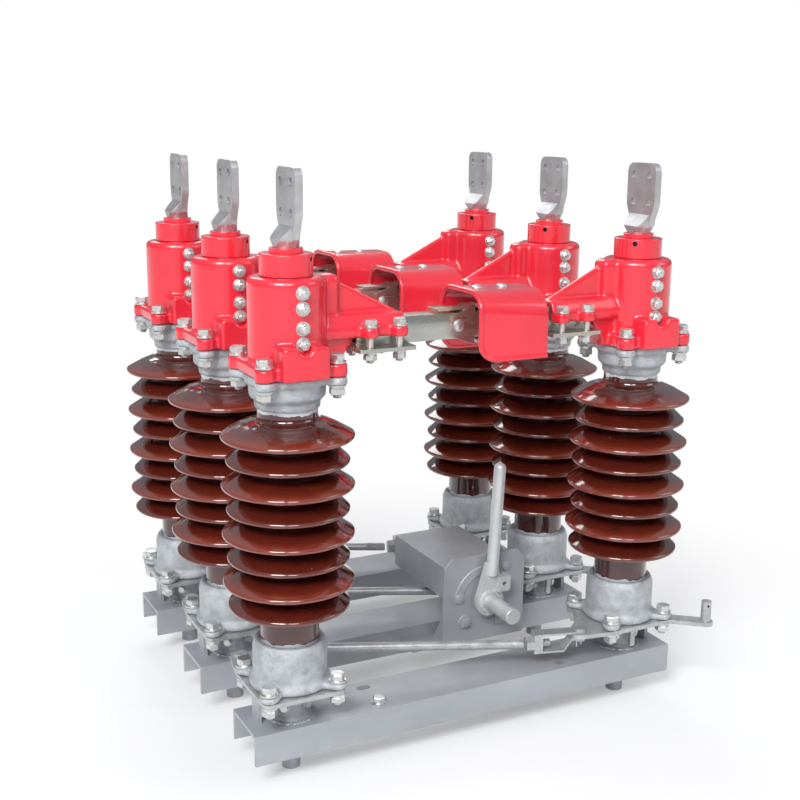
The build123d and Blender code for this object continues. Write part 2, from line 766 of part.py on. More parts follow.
# Mechanism bracket: face plate, foot and gussets
mech_right = mech_left + mech_width
with BuildPart() as bracket:
    with BuildSketch(Plane.XZ.offset(mech_face)):
        with BuildLine():
            Polyline((mech_left, mech_bottom), (mech_right, mech_bottom), (mech_right, mech_top - mech_chamfer),
                     (mech_right - mech_chamfer, mech_top), (mech_left + mech_chamfer, mech_top),
                     (mech_left, mech_top - mech_chamfer), close=True)
        make_face()
        with Locations((shaft_x, shaft_z)):
            Circle(journal_radius + running_gap, mode=Mode.SUBTRACT)
    extrude(amount=-mech_plate)
    channel_face = channel_width / 2
    with BuildSketch(Plane.YZ.offset(foot_left)):
        with BuildLine():
            Polyline((-mech_face, mech_bottom), (-channel_face, mech_bottom),
                     (-channel_face, mech_bottom - foot_flange_drop),
                     (-channel_face - mech_plate, mech_bottom - foot_flange_drop),
                     (-channel_face - mech_plate, mech_bottom - mech_plate), (-mech_face, mech_bottom - mech_plate),
                     close=True)
        make_face()
    extrude(amount=mech_right - foot_left)
    for edge in (mech_left, mech_right - mech_plate):
        with BuildSketch(Plane.YZ.offset(edge)):
            with BuildLine():
                Polyline((-mech_face + mech_plate, mech_bottom), (-channel_face - 9, mech_bottom),
                         (-mech_face + mech_plate, mech_bottom + 40), close=True)
            make_face()
        extrude(amount=mech_plate)
    with BuildSketch(Plane.XZ.offset(mech_face)):
        with BuildLine(mode=Mode.PRIVATE):
            middle = CenterArc((shaft_x, shaft_z), sum(track_radii) / 2, 98, 76)
        SlotArc(middle, track_radii[1] - track_radii[0])
    extrude(amount=track_height)
export(bracket, "mechanism_bracket")

with BuildPart() as cover:
    cover_left = mech_left + 2
    cover_right = cover_left + cover_width
    with BuildSketch(Plane.XZ.offset(mech_face - mech_plate)):
        with BuildLine():
            Polyline((cover_left, cover_left_edge), (cover_left, cover_top), (cover_right, cover_top),
                     (cover_right, cover_right_edge), (cover_right - cover_wall, cover_right_edge),
                     (cover_right - cover_wall, cover_top - cover_wall),
                     (cover_left + cover_wall, cover_top - cover_wall), (cover_left + cover_wall, cover_left_edge),
                     close=True)
        make_face()
    extrude(amount=-(cover_back + mech_face - mech_plate))
export(cover, "mechanism_cover")

hub_back = mech_face + track_height + hub_gap
with BuildPart() as shaft:
    for radius, near, far in ((shaft_radius, hub_back + hub_thickness, shaft_reach),
                              (journal_radius, shaft_tail, hub_back + hub_thickness)):
        with BuildSketch(Plane.XZ.offset(far)):
            with Locations((shaft_x, shaft_z)):
                Circle(radius)
        extrude(amount=near - far)
    chamfer(faces().sort_by(Axis.Y)[0].edges(), length=1)
export(shaft, "operating_shaft")

with BuildPart() as handle:
    with BuildSketch(Plane.XZ.offset(hub_back)):
        with Locations((shaft_x, shaft_z)):
            Circle(hub_radius)
        with BuildLine():
            Polyline((shaft_x - hub_radius, shaft_z), (shaft_x + hub_radius, shaft_z),
                     (shaft_x + handle_radius + 3, shaft_z + paddle_top),
                     (shaft_x - handle_radius + 3, shaft_z + paddle_top), close=True)
        make_face()
        with Locations((shaft_x, shaft_z)):
            Circle(journal_radius, mode=Mode.SUBTRACT)
    extrude(amount=hub_thickness)
    with BuildSketch(Plane.XZ.offset(hub_back)):
        with Locations((shaft_x + lock_offset[0], shaft_z + lock_offset[1])):
            Rectangle(lock_block[0], lock_block[2])
            Circle(lock_hole_radius, mode=Mode.SUBTRACT)
    extrude(amount=lock_block[1])
    grip_length = handle_length - paddle_top + 20
    grip = Plane((shaft_x + 3, -hub_back - handle_seat, shaft_z + paddle_top - 20),
                 z_dir=(sin(radians(handle_lean)), 0, cos(radians(handle_lean))))
    with BuildSketch(grip):
        Circle(handle_radius)
    extrude(amount=grip_length)
    fillet(faces().sort_by(Axis.Z)[-1].edges(), radius=handle_radius - 2)
export(handle, "operating_handle")
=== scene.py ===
"""Finish and fittings of a three-pole centre-break outdoor disconnector."""

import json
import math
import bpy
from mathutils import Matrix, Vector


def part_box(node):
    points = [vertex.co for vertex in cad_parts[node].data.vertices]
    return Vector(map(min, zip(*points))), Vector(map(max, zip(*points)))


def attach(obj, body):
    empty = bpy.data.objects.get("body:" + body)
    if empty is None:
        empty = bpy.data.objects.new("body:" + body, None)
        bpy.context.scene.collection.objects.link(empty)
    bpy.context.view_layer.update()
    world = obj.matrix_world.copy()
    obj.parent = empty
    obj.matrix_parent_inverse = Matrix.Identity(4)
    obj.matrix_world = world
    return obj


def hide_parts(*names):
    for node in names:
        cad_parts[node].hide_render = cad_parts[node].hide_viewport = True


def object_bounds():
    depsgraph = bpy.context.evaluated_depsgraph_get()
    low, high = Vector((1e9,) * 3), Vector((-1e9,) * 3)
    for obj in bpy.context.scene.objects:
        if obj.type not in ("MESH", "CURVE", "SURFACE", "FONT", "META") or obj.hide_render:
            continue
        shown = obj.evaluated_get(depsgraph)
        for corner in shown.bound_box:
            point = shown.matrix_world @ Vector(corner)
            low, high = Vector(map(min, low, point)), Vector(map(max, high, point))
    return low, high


bl_info = {
    "name": "Centre-break disconnector finish",
    "version": (1, 0, 0),
    "blender": (4, 5, 0),
    "location": "View3D > Sidebar > Disconnector",
    "description": "Glazed insulators, painted castings, fasteners, camera and light for the disconnector",
    "category": "Object",
}

import bmesh
import bpy
from mathutils import Euler, Matrix, Vector

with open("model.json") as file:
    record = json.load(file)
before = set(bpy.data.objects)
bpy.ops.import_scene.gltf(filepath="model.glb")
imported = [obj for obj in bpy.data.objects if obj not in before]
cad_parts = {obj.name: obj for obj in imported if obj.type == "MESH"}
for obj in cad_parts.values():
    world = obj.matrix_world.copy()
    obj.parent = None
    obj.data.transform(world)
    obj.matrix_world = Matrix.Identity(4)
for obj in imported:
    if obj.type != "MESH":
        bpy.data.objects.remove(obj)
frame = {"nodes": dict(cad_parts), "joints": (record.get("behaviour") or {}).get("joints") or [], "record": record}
cad_box = [list(corner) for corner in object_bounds()]

POLES = ("front", "middle", "rear")
SIDES = ("left", "right")
UP, DOWN, FRONT = (0, 0, 1), (0, 0, -1), (0, -1, 0)


# Places read from the frame

def low(node):
    """Lowest corner of a node."""
    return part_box(node)[0]


def high(node):
    """Highest corner of a node."""
    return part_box(node)[1]


def post_axis(pole, side):
    """Foot of a post's axis, at the height of the channel's top."""
    corner_a, corner_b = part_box(f"{pole}_{side}_insulator")
    return Vector(((corner_a.x + corner_b.x) / 2, (corner_a.y + corner_b.y) / 2, 0))


def inward(side):
    """Direction along X from a post to the other post of its pole."""
    return 1 if side == "left" else -1


# Heights over the channel's top and distances from a post's axis, in metres, as the solids have them

CUP_LIPS = (0.1113, 0.417)
EAR_HALF = 0.047
CRANK_PLATE_FOOT, FITTING_EAR_TOP = 0.0413, 0.0573
HEAD_EAR_TOP, FITTING_EAR_FOOT = 0.0165, -0.011
CLAMP_REACHES, CLAMP_HALF = (0.101, 0.142), 0.0275
CLAMP_PLATE_FOOT, CLAMP_SHANK_FOOT, CLAMP_EAR_TOP = 0.485, 0.4895, 0.516
FACE_SCREW_HEIGHTS = (0.505, 0.524, 0.548, 0.567)
FACE_SCREW_SHIFT, FACE_SCREW_FRONT = 0.0018, -0.0475
BEARING_RADIUS, BEARING_SCREW_HEIGHT, BEARING_SCREW_TURNS = 0.0248, 0.021, (-128, -58, 38)
BEARING_WELD_RADIUS, STUB_WELD_RADIUS, STUB_WELD_HEIGHT = 0.0305, 0.0135, -0.0422
CAP_HOLE_RADIUS, CAP_HOLE_HEIGHT = 0.0268, 0.0205
ROD_HEIGHTS, ROD_START, ROD_SHORTER = (0.054, 0.0338), 0.08, 0.166
ROD_TIP_REACH, PIN_FOOT = 0.0575, 0.0342
THREAD_STARTS, THREAD_PITCH, THREAD_TURNS = (0.0824, 0.0885), 0.0018, 18
LEVER_PIN, LEVER_HOLE_HEIGHT, LEVER_PIN_RADIUS = (0.099, -0.082), 0.0725, 0.0059
SPLIT_PIN = ((0.0105, -0.0022), (0.008, 0), (0.002, 0), (-0.007, 0), (-0.0095, -0.006), (-0.008, -0.014))
SHAFT_X, SHAFT_HEIGHT, HUB_FRONT = 0.114, 0.046, -0.1035


# Sizes and colours that a user would change

class FinishSettings(bpy.types.PropertyGroup):
    red: bpy.props.FloatVectorProperty(
        name="Head red", description="Colour of the painted head castings and hoods",
        subtype="COLOR", size=3, min=0, max=1, default=(0.8, 0.017, 0.04))
    glaze: bpy.props.FloatVectorProperty(
        name="Glaze brown", description="Colour of the insulators' glaze on their faces",
        subtype="COLOR", size=3, min=0, max=1, default=(0.082, 0.0105, 0.0065))
    # Rim colour: partly the glaze running thin, partly a painted highlight where light catches the rims.
    glaze_rim_thin_and_lit: bpy.props.FloatVectorProperty(
        name="Glaze rim", description="Colour of the glaze where it runs thin over the rims",
        subtype="COLOR", size=3, min=0, max=1, default=(0.19, 0.027, 0.013))
    grey: bpy.props.FloatVectorProperty(
        name="Base grey", description="Colour of the painted channels and mechanism",
        subtype="COLOR", size=3, min=0, max=1, default=(0.41, 0.43, 0.46))
    casting: bpy.props.FloatVectorProperty(
        name="Casting silver", description="Colour of the sand-cast fittings",
        subtype="COLOR", size=3, min=0, max=1, default=(0.51, 0.54, 0.565))


class InsulatorSettings(bpy.types.PropertyGroup):
    sheds: bpy.props.IntProperty(name="Sheds", description="Number of sheds on a post", default=8, min=1)
    pitch: bpy.props.FloatProperty(
        name="Shed pitch", description="Height from one rim to the next", default=0.032, unit="LENGTH")
    large: bpy.props.FloatProperty(
        name="Large shed", description="Radius of the first, third, fifth and seventh sheds", default=0.085,
        unit="LENGTH")
    small: bpy.props.FloatProperty(
        name="Small shed", description="Radius of the sheds between them", default=0.079, unit="LENGTH")
    rim_top: bpy.props.FloatProperty(
        name="Top rim", description="Height of the uppermost rim over the channel", default=0.386,
        unit="LENGTH")
    neck: bpy.props.FloatProperty(
        name="Neck", description="Radius of the plain porcelain neck", default=0.0385, unit="LENGTH")


class CastingSettings(bpy.types.PropertyGroup):
    grain: bpy.props.FloatProperty(
        name="Casting grain", description="Edge length of the mesh drawn over a casting", default=0.0024,
        min=0.001, unit="LENGTH")
    rounding: bpy.props.IntProperty(
        name="Rounding", description="Smoothing passes over a casting's edges and corners", default=5, min=1)
    bead: bpy.props.FloatProperty(
        name="Hood bead", description="Radius of the bead along a hood's open edge", default=0.0034,
        unit="LENGTH")


class FastenerSettings(bpy.types.PropertyGroup):
    flange_bolt: bpy.props.FloatProperty(
        name="Flange bolt", description="Thread diameter of the bolts through the ears", default=0.0105,
        unit="LENGTH")
    clamp_bolt: bpy.props.FloatProperty(
        name="Clamp bolt", description="Thread diameter of the bolts that clamp the arms", default=0.009,
        unit="LENGTH")
    clamp_screw: bpy.props.FloatProperty(
        name="Head screw", description="Thread diameter of the screws on a head's face", default=0.008,
        unit="LENGTH")


# Meshes

def collection_link(item):
    """Puts an object into the scene."""
    bpy.context.scene.collection.objects.link(item)
    return item


def closed_object(name, mesh):
    """Object of a mesh whose doubles are merged and whose faces point outwards, shaded smooth."""
    shape = bmesh.new()
    shape.from_mesh(mesh)
    bmesh.ops.remove_doubles(shape, verts=shape.verts, dist=1e-6)
    bmesh.ops.recalc_face_normals(shape, faces=shape.faces)
    shape.to_mesh(mesh)
    shape.free()
    for face in mesh.polygons:
        face.use_smooth = True
    return collection_link(bpy.data.objects.new(name, mesh))


def mesh_piece(name, verts, faces):
    """Object of a mesh given by its points and faces."""
    mesh = bpy.data.meshes.new(name)
    mesh.from_pydata(verts, [], faces)
    mesh.validate()
    return closed_object(name, mesh)


def turned(name, profile, centre, segments=96, angle=40):
    """Solid of revolution about an upright axis, from a profile of radius and height that ends on the axis."""
    verts = []
    faces = []
    rings = []
    for radius, height in profile:
        if radius < 1e-6:
            rings.append([len(verts)] * segments)
            verts.append((centre.x, centre.y, height))
            continue
        rings.append(list(range(len(verts), len(verts) + segments)))
        for step in range(segments):
            turn = math.tau * step / segments
            verts.append((centre.x + radius * math.cos(turn), centre.y + radius * math.sin(turn), height))
    for ring, above in zip(rings, rings[1:]):
        for step in range(segments):
            after = (step + 1) % segments
            corners = [ring[step], ring[after], above[after], above[step]]
            unique = list(dict.fromkeys(corners))
            if len(unique) > 2:
                faces.append(unique)
    item = mesh_piece(name, verts, faces)
    item.data.set_sharp_from_angle(angle=math.radians(angle))
    return item


def finish_piece(item, body, material):
    """Gives a piece its material, where one is given, and its body."""
    if material is not None:
        item.data.materials.clear()
        item.data.materials.append(material)
    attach(item, body)
    return item


def node_slot(node):
    """Material slot that the record gives to a node."""
    return next(part["material_slot"] for part in frame["record"]["subparts"] if part["node"] == node)


def node_body(node):
    """Body that a node belongs to."""
    return next(name for name, members in frame["record"]["behaviour"]["bodies"].items() if node in members)


def merged_copy(node, name):
    """Copy of a CAD node, with its loose triangles joined into whole faces."""
    mesh = bpy.data.meshes.new(name)
    shape = bmesh.new()
    shape.from_mesh(frame["nodes"][node].data)
    bmesh.ops.remove_doubles(shape, verts=shape.verts, dist=1e-5)
    bmesh.ops.dissolve_limit(shape, angle_limit=math.radians(0.6), verts=shape.verts, edges=shape.edges)
    shape.to_mesh(mesh)
    shape.free()
    for name_left in ("custom_normal", "sharp_face", "sharp_edge"):
        if name_left in mesh.attributes:
            mesh.attributes.remove(mesh.attributes[name_left])
    return collection_link(bpy.data.objects.new(name, mesh))


def settled(item, sharp=None):
    """Object whose modifiers are turned into plain mesh."""
    evaluated = item.evaluated_get(bpy.context.evaluated_depsgraph_get())
    mesh = bpy.data.meshes.new_from_object(evaluated)
    item.modifiers.clear()
    item.data = mesh
    if sharp is not None:
        for face in mesh.polygons:
            face.use_smooth = True
        mesh.set_sharp_from_angle(angle=math.radians(sharp))
    return item


def wire_piece(name, points, radius):
    """Round bar along a line of points."""
    curve = bpy.data.curves.new(name, "CURVE")
    curve.dimensions = "3D"
    spline = curve.splines.new("POLY")
    spline.points.add(len(points) - 1)
    for point, place in zip(spline.points, points):
        point.co = (*place, 1)
    curve.bevel_depth = radius
    curve.bevel_resolution = 3
    curve.use_fill_caps = True
    holder = collection_link(bpy.data.objects.new(name + "_line", curve))
    mesh = bpy.data.meshes.new_from_object(holder.evaluated_get(bpy.context.evaluated_depsgraph_get()))
    bpy.data.objects.remove(holder)
    item = closed_object(name, mesh)
    mesh.set_sharp_from_angle(angle=math.radians(50))
    return item


# Materials

def shader(name):
    """New node material, with its Principled node."""
    material = bpy.data.materials.new(name)
    material.use_nodes = True
    return material, material.node_tree, material.node_tree.nodes["Principled BSDF"]


def object_noise(tree, scale, detail=4.0, roughness=0.55, stretch=(1, 1, 1)):
    """Noise on the piece's own coordinates, with a scale in features to the metre."""
    coordinates = tree.nodes.new("ShaderNodeTexCoord")
    mapping = tree.nodes.new("ShaderNodeMapping")
    mapping.inputs["Scale"].default_value = stretch
    noise = tree.nodes.new("ShaderNodeTexNoise")
    noise.inputs["Scale"].default_value = scale
    noise.inputs["Detail"].default_value = detail
    noise.inputs["Roughness"].default_value = roughness
    tree.links.new(coordinates.outputs["Object"], mapping.inputs["Vector"])
    tree.links.new(mapping.outputs["Vector"], noise.inputs["Vector"])
    return noise.outputs["Fac"]


def colour_ramp(tree, value, stops):
    """Colour of a value, from stops of position and colour."""
    ramp = tree.nodes.new("ShaderNodeValToRGB")
    elements = ramp.color_ramp.elements
    while len(elements) < len(stops):
        elements.new(0.5)
    for element, (position, colour) in zip(elements, stops):
        element.position = position
        element.color = (*colour, 1)
    tree.links.new(value, ramp.inputs["Fac"])
    return ramp.outputs["Color"]


def value_range(tree, value, lowest, highest, from_low=0.3, from_high=0.7):
    """Value spread between two limits."""
    spread = tree.nodes.new("ShaderNodeMapRange")
    spread.inputs["From Min"].default_value = from_low
    spread.inputs["From Max"].default_value = from_high
    spread.inputs["To Min"].default_value = lowest
    spread.inputs["To Max"].default_value = highest
    tree.links.new(value, spread.inputs["Value"])
    return spread.outputs["Result"]


def bump(tree, value, distance, strength=1.0, below=None):
    """Bump normal of a height value, over another bump where one is given."""
    node = tree.nodes.new("ShaderNodeBump")
    node.inputs["Distance"].default_value = distance
    node.inputs["Strength"].default_value = strength
    tree.links.new(value, node.inputs["Height"])
    if below is not None:
        tree.links.new(below, node.inputs["Normal"])
    return node.outputs["Normal"]


def blended(tree, mask, below, above):
    """Colour that changes to another one where a mask is 1."""
    mix = tree.nodes.new("ShaderNodeMix")
    mix.data_type = "RGBA"
    tree.links.new(mask, mix.inputs["Factor"])
    tree.links.new(below, mix.inputs["A"])
    mix.inputs["B"].default_value = (*above, 1)
    return mix.outputs["Result"]


def maths(tree, operation, first, second):
    """Result of a sum on values or sockets."""
    node = tree.nodes.new("ShaderNodeMath")
    node.operation = operation
    for index, value in enumerate((first, second)):
        if isinstance(value, (int, float)):
            node.inputs[index].default_value = value
        else:
            tree.links.new(value, node.inputs[index])
    return node.outputs["Value"]


def speck_mask(tree, scale, size):
    """Mask of a few small specks."""
    coordinates = tree.nodes.new("ShaderNodeTexCoord")
    cells = tree.nodes.new("ShaderNodeTexVoronoi")
    cells.inputs["Scale"].default_value = scale
    tree.links.new(coordinates.outputs["Object"], cells.inputs["Vector"])
    split = tree.nodes.new("ShaderNodeSeparateColor")
    tree.links.new(cells.outputs["Color"], split.inputs["Color"])
    near = maths(tree, "LESS_THAN", cells.outputs["Distance"], size)
    chosen = maths(tree, "GREATER_THAN", split.outputs["Red"], 0.86)
    return maths(tree, "MULTIPLY", near, chosen)


def paint_edge(tree):
    """Mask of the ragged silver paint where the fittings' paint has run onto the porcelain."""
    coordinates = tree.nodes.new("ShaderNodeTexCoord")
    split = tree.nodes.new("ShaderNodeSeparateXYZ")
    tree.links.new(coordinates.outputs["Object"], split.inputs["Vector"])
    ragged = maths(tree, "MULTIPLY", object_noise(tree, 70, detail=5), 0.011)
    foot = maths(tree, "LESS_THAN", split.outputs["Z"], maths(tree, "ADD", ragged, CUP_LIPS[0] - 0.0035))
    crown_edge = maths(tree, "SUBTRACT", CUP_LIPS[1] + 0.003, ragged)
    crown = maths(tree, "GREATER_THAN", split.outputs["Z"], crown_edge)
    return maths(tree, "MAXIMUM", foot, crown)


def scaled(colour, factor):
    """Colour made lighter or darker."""
    return tuple(min(1.0, channel * factor) for channel in colour)


def dress(tree, surface, colour, metallic, roughness, normal=None):
    """Links a colour, a roughness and a bump normal to a Principled node, and sets how metallic it is."""
    tree.links.new(colour, surface.inputs["Base Color"])
    surface.inputs["Metallic"].default_value = metallic
    tree.links.new(roughness, surface.inputs["Roughness"])
    if normal is not None:
        tree.links.new(normal, surface.inputs["Normal"])


def red_paint(settings):
    """Thick glossy paint over a casting, with a slight orange peel."""
    material, tree, surface = shader("red_paint")
    tone = object_noise(tree, 9, detail=3)
    sheen = object_noise(tree, 26, detail=5)
    peel = object_noise(tree, 210, detail=2)
    cast = object_noise(tree, 24, detail=2)
    colour = colour_ramp(tree, tone, [(0.3, scaled(settings.red, 0.9)), (0.7, scaled(settings.red, 1.06))])
    dress(tree, surface, colour, 0, value_range(tree, sheen, 0.3, 0.44),
          bump(tree, peel, 0.0002, below=bump(tree, cast, 0.001, 0.5)))
    surface.inputs["Coat Weight"].default_value = 0.8
    surface.inputs["Coat Roughness"].default_value = 0.09
    return material


def brown_glaze(settings):
    """Porcelain glaze that is dark on the faces and lighter at the rims, partly where the glaze thins and partly
    as a painted highlight.
    """
    material, tree, surface = shader("brown_glaze")
    rim = tree.nodes.new("ShaderNodeAttribute")
    rim.attribute_name = "rim"
    cloud = object_noise(tree, 30, detail=6)
    # The rim weight lightens the colour over the rims: partly thin glaze, partly a painted highlight where light
    # catches them.
    mottle_and_rim_light = maths(tree, "ADD", maths(tree, "MULTIPLY", cloud, 0.5), rim.outputs["Fac"])
    glaze = colour_ramp(tree, mottle_and_rim_light, [
        (0.12, scaled(settings.glaze, 0.55)), (0.34, tuple(settings.glaze)),
        (0.7, scaled(settings.glaze_rim_thin_and_lit, 0.6)), (1.0, tuple(settings.glaze_rim_thin_and_lit))])
    speckled = blended(tree, speck_mask(tree, 95, 0.05), glaze, (0.7, 0.66, 0.62))
    dust = object_noise(tree, 14, detail=8)
    ripple = object_noise(tree, 40, detail=2)
    grain = object_noise(tree, 300, detail=2)
    dress(tree, surface, blended(tree, paint_edge(tree), speckled, settings.casting), 0,
          value_range(tree, dust, 0.05, 0.16), bump(tree, grain, 0.0001, below=bump(tree, ripple, 0.0008, 0.7)))
    surface.inputs["Coat Weight"].default_value = 1.0
    surface.inputs["Coat Roughness"].default_value = 0.04
    surface.inputs["IOR"].default_value = 1.55
    return material


def cast_silver(settings):
    """Sand casting under silver paint, rough and slightly blotched."""
    material, tree, surface = shader("silver_casting")
    tone = object_noise(tree, 60, detail=9, roughness=0.75)
    colour = colour_ramp(tree, tone, [(0.3, scaled(settings.casting, 0.66)), (0.52, tuple(settings.casting)),
                                      (0.72, scaled(settings.casting, 1.25))])
    sand = object_noise(tree, 520, detail=4, roughness=0.8)
    lumps = object_noise(tree, 55, detail=3)
    dress(tree, surface, colour, 0.45, value_range(tree, object_noise(tree, 60, detail=5), 0.34, 0.5),
          bump(tree, sand, 0.0011, 1.0, bump(tree, lumps, 0.002, 0.5)))
    return material


def grey_paint(settings):
    """Even grey paint on rolled steel, with faint rolling marks and grime."""
    material, tree, surface = shader("grey_paint")
    tone = object_noise(tree, 7, detail=7, roughness=0.6, stretch=(0.5, 1, 1))
    colour = colour_ramp(tree, tone, [(0.3, scaled(settings.grey, 0.82)), (0.55, tuple(settings.grey)),
                                      (0.75, scaled(settings.grey, 1.18))])
    dress(tree, surface, colour, 0.25, value_range(tree, object_noise(tree, 45, detail=5), 0.34, 0.48),
          bump(tree, object_noise(tree, 380, detail=3), 0.00018, 0.7))
    return material


def bright_paint(settings):
    """Silver paint on the handle and its shaft, brushed on over round bar."""
    material, tree, surface = shader("bright_paint")
    tone = object_noise(tree, 45, detail=6, stretch=(1, 1, 0.3))
    dress(tree, surface, colour_ramp(tree, tone, [(0.3, (0.52, 0.53, 0.54)), (0.7, (0.72, 0.73, 0.74))]), 0.4,
          value_range(tree, tone, 0.36, 0.5), bump(tree, object_noise(tree, 240, detail=4), 0.0005, 0.7))
    return material


def galvanized(settings):
    """Hot-dip zinc with soft spangles and dull streaks."""
    material, tree, surface = shader("galvanized_steel")
    coordinates = tree.nodes.new("ShaderNodeTexCoord")
    spangle = tree.nodes.new("ShaderNodeTexVoronoi")
    spangle.inputs["Scale"].default_value = 260
    tree.links.new(coordinates.outputs["Object"], spangle.inputs["Vector"])
    blotch = object_noise(tree, 60, detail=6, roughness=0.6)
    mixed = maths(tree, "ADD", maths(tree, "MULTIPLY", spangle.outputs["Color"], 0.3), blotch)
    colour = colour_ramp(tree, mixed, [(0.35, (0.38, 0.39, 0.4)), (0.65, (0.48, 0.49, 0.5)),
                                       (0.95, (0.6, 0.6, 0.6))])
    dress(tree, surface, colour, 0.6, value_range(tree, blotch, 0.3, 0.48),
          bump(tree, object_noise(tree, 120, detail=5), 0.0005, 0.6))
    return material


def zinc_plate(settings):
    """Bright zinc plate of the bolts, nuts and washers."""
    material, tree, surface = shader("zinc_plate")
    tone = object_noise(tree, 110, detail=5)
    colour = colour_ramp(tree, tone, [(0.3, (0.6, 0.61, 0.6)), (0.6, (0.7, 0.71, 0.7)),
                                      (0.8, (0.78, 0.77, 0.73))])
    dress(tree, surface, colour, 0.9, value_range(tree, tone, 0.32, 0.42),
          bump(tree, object_noise(tree, 900, detail=2), 0.00012, 0.5))
    return material


def cast_aluminium(settings):
    """Dull cast terminal with a fine grain and softly worn faces."""
    material, tree, surface = shader("cast_aluminium")
    tone = object_noise(tree, 40, detail=6)
    colour = colour_ramp(tree, tone, [(0.3, (0.44, 0.44, 0.45)), (0.6, (0.56, 0.56, 0.57)),
                                      (0.8, (0.64, 0.64, 0.64))])
    grain = object_noise(tree, 500, detail=3)
    waves = object_noise(tree, 60, detail=2)
    dress(tree, surface, colour, 0.85, value_range(tree, object_noise(tree, 70, detail=5), 0.38, 0.52),
          bump(tree, grain, 0.00025, 0.6, bump(tree, waves, 0.0014, 0.5)))
    return material


def bare_bar(settings):
    """Plated contact bar with drawing marks along it and a yellowish tarnish."""
    material, tree, surface = shader("bare_bar")
    marks = object_noise(tree, 60, detail=6, stretch=(0.06, 1, 1))
    stain = object_noise(tree, 16, detail=5, stretch=(0.4, 1, 1))
    colour = colour_ramp(tree, stain, [(0.3, (0.34, 0.35, 0.33)), (0.5, (0.5, 0.5, 0.47)),
                                       (0.62, (0.54, 0.5, 0.4)), (0.78, (0.66, 0.66, 0.64))])
    dress(tree, surface, colour, 0.9, value_range(tree, marks, 0.2, 0.36), bump(tree, marks, 0.0005, 0.6))
    return material


def black_screw_and_hole_shade(settings):
    """Near-black finish for what is seen down a hole: partly blackened set-screw steel, partly painted shade
    inside the hole.
    """
    material, tree, surface = shader("black_screw_and_hole_shade")
    tone = object_noise(tree, 200, detail=4)
    colour = colour_ramp(tree, tone, [(0.3, (0.008, 0.008, 0.009)), (0.7, (0.03, 0.03, 0.032))])
    dress(tree, surface, colour, 0.6, value_range(tree, tone, 0.3, 0.5))
    return material


MATERIAL_MAKERS = {
    "red_paint": red_paint, "brown_glaze": brown_glaze, "silver_casting": cast_silver,
    "grey_paint": grey_paint, "galvanized_steel": galvanized, "cast_aluminium": cast_aluminium,
    "bare_metal": bare_bar, "zinc": zinc_plate, "black_screw_and_hole_shade": black_screw_and_hole_shade, "bright_paint": bright_paint,
}
materials = {}


class DISCONNECTOR_OT_materials(bpy.types.Operator):
    """Makes every finish and puts it on the nodes that stay as they are"""

    bl_idname = "disconnector.materials"
    bl_label = "Finishes"

    def execute(self, context):
        settings = context.scene.disconnector_finish
        for name, maker in MATERIAL_MAKERS.items():
            materials[name] = maker(settings)
        for part in frame["record"]["subparts"]:
            node = frame["nodes"][part["node"]]
            node.data.materials.clear()
            node.data.materials.append(materials[part["material_slot"]])
        return {"FINISHED"}


# Insulators

def arc(centre_radius, centre_height, radius, start, end, steps):
    """Points on an arc in the profile plane, with angles in degrees from straight out."""
    points = []
    for step in range(steps + 1):
        turn = math.radians(start + (end - start) * step / steps)
        points.append((centre_radius + radius * math.cos(turn), centre_height + radius * math.sin(turn)))
    return points


def insulator_profile(settings, foot, top):
    """Profile from the foot to the top, with a rolled rim and a dished underside on each shed."""
    web = settings.neck + 0.0035
    rim = 0.0034
    points = [(0, foot), (settings.neck, foot)]
    for shed in reversed(range(settings.sheds)):
        rim_top = settings.rim_top - shed * settings.pitch
        reach = settings.small if shed % 2 else settings.large
        centre = (reach - rim, rim_top - rim)
        root = web if shed < settings.sheds - 1 else settings.neck
        points += arc(root + 0.006, centre[1] + 0.001, 0.006, 180, 115, 4)
        points += [(root + 0.018, centre[1] + 0.0035), (reach - 0.02, centre[1] - 0.0002)]
        points += arc(*centre, rim, -115, 68, 9)
        crown = web if shed else settings.neck
        points += [(crown + 0.022, rim_top + 0.0115), (crown + 0.008, rim_top + 0.0165)]
        points += arc(crown + 0.007, rim_top + 0.0235, 0.007, 240, 180, 3)
    points += [(settings.neck, top), (0, top)]
    return points


class DISCONNECTOR_OT_insulators(bpy.types.Operator):
    """Makes the glazed porcelain posts"""

    bl_idname = "disconnector.insulators"
    bl_label = "Insulators"

    def execute(self, context):
        settings = context.scene.disconnector_insulator
        for pole in POLES:
            for side in SIDES:
                node = f"{pole}_{side}_insulator"
                profile = insulator_profile(settings, low(node).z, high(node).z)
                centre = post_axis(pole, side)
                item = turned(f"{node}_porcelain", profile, centre, 96, 75)
                # Rim weight rises from the faces out to the rims and lightens the glaze there: partly thin glaze,
                # partly a painted highlight.
                rim = item.data.attributes.new("rim", "FLOAT", "POINT")
                for index, vert in enumerate(item.data.vertices):
                    reach = (Vector(vert.co).xy - centre.xy).length
                    rim.data[index].value = max(0.0, (reach - settings.small + 0.006) / 0.012)
                finish_piece(item, f"{pole}_{side}_post", materials["brown_glaze"])
                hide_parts(node)
        return {"FINISHED"}


# Castings and edges

